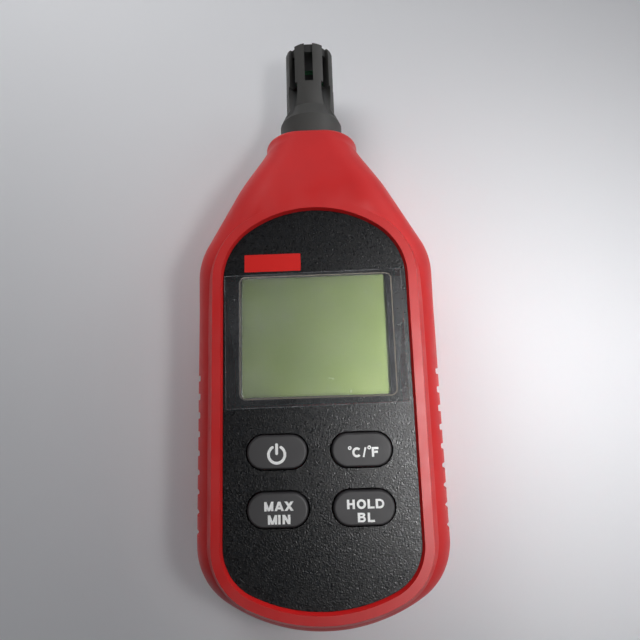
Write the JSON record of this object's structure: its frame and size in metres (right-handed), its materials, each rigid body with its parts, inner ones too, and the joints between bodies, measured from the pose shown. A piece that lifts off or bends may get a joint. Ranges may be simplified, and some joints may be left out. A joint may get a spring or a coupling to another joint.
{
  "type": "handheld weather meter",
  "caption": "Palm-size temperature and humidity meter with a slotted sensor probe, display window, press keys and a screwed battery door.",
  "frame": {"origin": "middle of the bounding box, on the plane of the flat back", "axes": "+X across the meter to its right, +Y along it towards the sensor tip, +Z out through the display"},
  "size_m": [0.0568, 0.1432, 0.029],
  "materials": {
    "red_shell": "semi-matte moulded, fine spark texture",
    "panel_black": "fine grained",
    "clear_lens": "polished clear acrylic",
    "clear_film": "clear protective film",
    "lcd_glass": "display glass, switched off",
    "polarizer": "grey-green polarizer film",
    "white_plastic": "moulded white",
    "light_guide": "milky light guide",
    "zebra_rubber": "layered contact rubber",
    "led_yellow": "potted lamp",
    "key_grey": "satin dark grey",
    "silicone": "translucent silicone",
    "carbon": "conductive rubber",
    "board_green": "solder mask over glass laminate",
    "chip_black": "moulded epoxy",
    "steel": "zinc plated",
    "spring_steel": "nickel plated",
    "cell_jacket": "printed jacket, plain",
    "brass": "knurled",
    "probe_grey": "satin dark grey",
    "sensor_white": "sensor body with open window"
  },
  "bodies": {
    "housing": {"front_housing": "red_shell", "rear_housing": "red_shell", "front_panel": "panel_black", "display_lens": "clear_lens", "screen_film": "clear_film", "lcd_glass": "lcd_glass", "lcd_polarizer": "polarizer", "backlight_guide": "light_guide", "lcd_frame": "white_plastic", "zebra_strips": "zebra_rubber", "backlight_leds": "led_yellow", "keypad_mat": "silicone", "main_board": "board_green", "board_screws": "steel", "microcontroller": "chip_black", "board_parts": "chip_black", "battery_1": "cell_jacket", "battery_2": "cell_jacket", "battery_3": "cell_jacket", "battery_contacts": "spring_steel", "battery_springs": "spring_steel", "door_insert": "brass", "housing_screws": "steel", "sensor_cage": "probe_grey", "sensor_board": "board_green", "humidity_sensor": "sensor_white", "sensor_header": "chip_black", "power_dome": "silicone", "unit_dome": "silicone", "max_min_dome": "silicone", "hold_dome": "silicone"},
    "power": {"power_key": "key_grey", "power_pill": "carbon"},
    "unit": {"unit_key": "key_grey", "unit_pill": "carbon"},
    "max_min": {"max_min_key": "key_grey", "max_min_pill": "carbon"},
    "hold": {"hold_key": "key_grey", "hold_pill": "carbon"},
    "battery_door": {"battery_door": "probe_grey"},
    "door_screw": {"door_screw": "steel"}
  },
  "joints": [
    {"name": "power_press", "type": "slide", "parent": "housing", "child": "power", "axis": [0, 0, -1], "range_m": [0, 0.001], "stiffness_N_per_m": 1000, "deforming": ["power_dome"]},
    {"name": "unit_press", "type": "slide", "parent": "housing", "child": "unit", "axis": [0, 0, -1], "range_m": [0, 0.001], "stiffness_N_per_m": 1000, "deforming": ["unit_dome"]},
    {"name": "max_min_press", "type": "slide", "parent": "housing", "child": "max_min", "axis": [0, 0, -1], "range_m": [0, 0.001], "stiffness_N_per_m": 1000, "deforming": ["max_min_dome"]},
    {"name": "hold_press", "type": "slide", "parent": "housing", "child": "hold", "axis": [0, 0, -1], "range_m": [0, 0.001], "stiffness_N_per_m": 1000, "deforming": ["hold_dome"]},
    {"name": "door_swing", "type": "hinge", "parent": "housing", "child": "battery_door", "pos_m": [0, -0.00225, 0], "axis": [1, 0, 0], "range_deg": [0, 50]},
    {"name": "door_screw_turn", "type": "hinge", "parent": "battery_door", "child": "door_screw", "pos_m": [0, -0.05825, 0], "axis": [0, 0, 1], "continuous": true}
  ]
}
